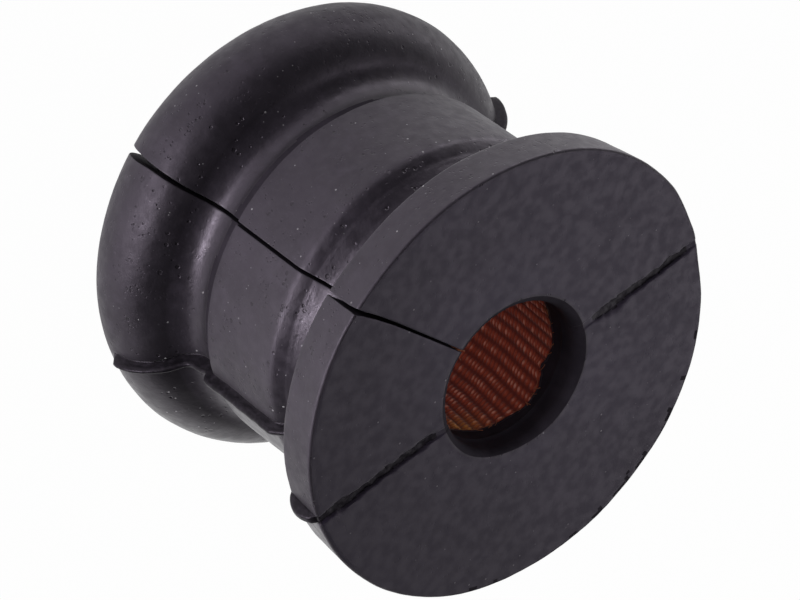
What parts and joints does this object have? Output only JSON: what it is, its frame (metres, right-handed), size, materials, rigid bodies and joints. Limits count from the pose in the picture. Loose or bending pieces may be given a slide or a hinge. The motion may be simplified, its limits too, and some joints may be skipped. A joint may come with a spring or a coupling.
{
  "type": "sway bar bushing",
  "caption": "Slit rubber bushing for an anti-roll bar: flat flange, band for the bracket, rounded bead at the far end, and a bore lined with woven fabric.",
  "frame": {"origin": "centre of the round bead end that it stands on, on the bore's axis", "axes": "+Z along the bore, up from the bead end to the flat flange; the mould's parting plane runs at -27 degrees from +X, and the knife cut is near -Y"},
  "size_m": [0.05, 0.05, 0.0417],
  "materials": {
    "moulded_rubber": "matte black moulded rubber, smoother in the grooves",
    "woven_lining": "rust-brown woven fabric"
  },
  "bodies": {
    "root": {"bushing_body": "moulded_rubber", "bore_liner": "woven_lining"}
  },
  "joints": []
}
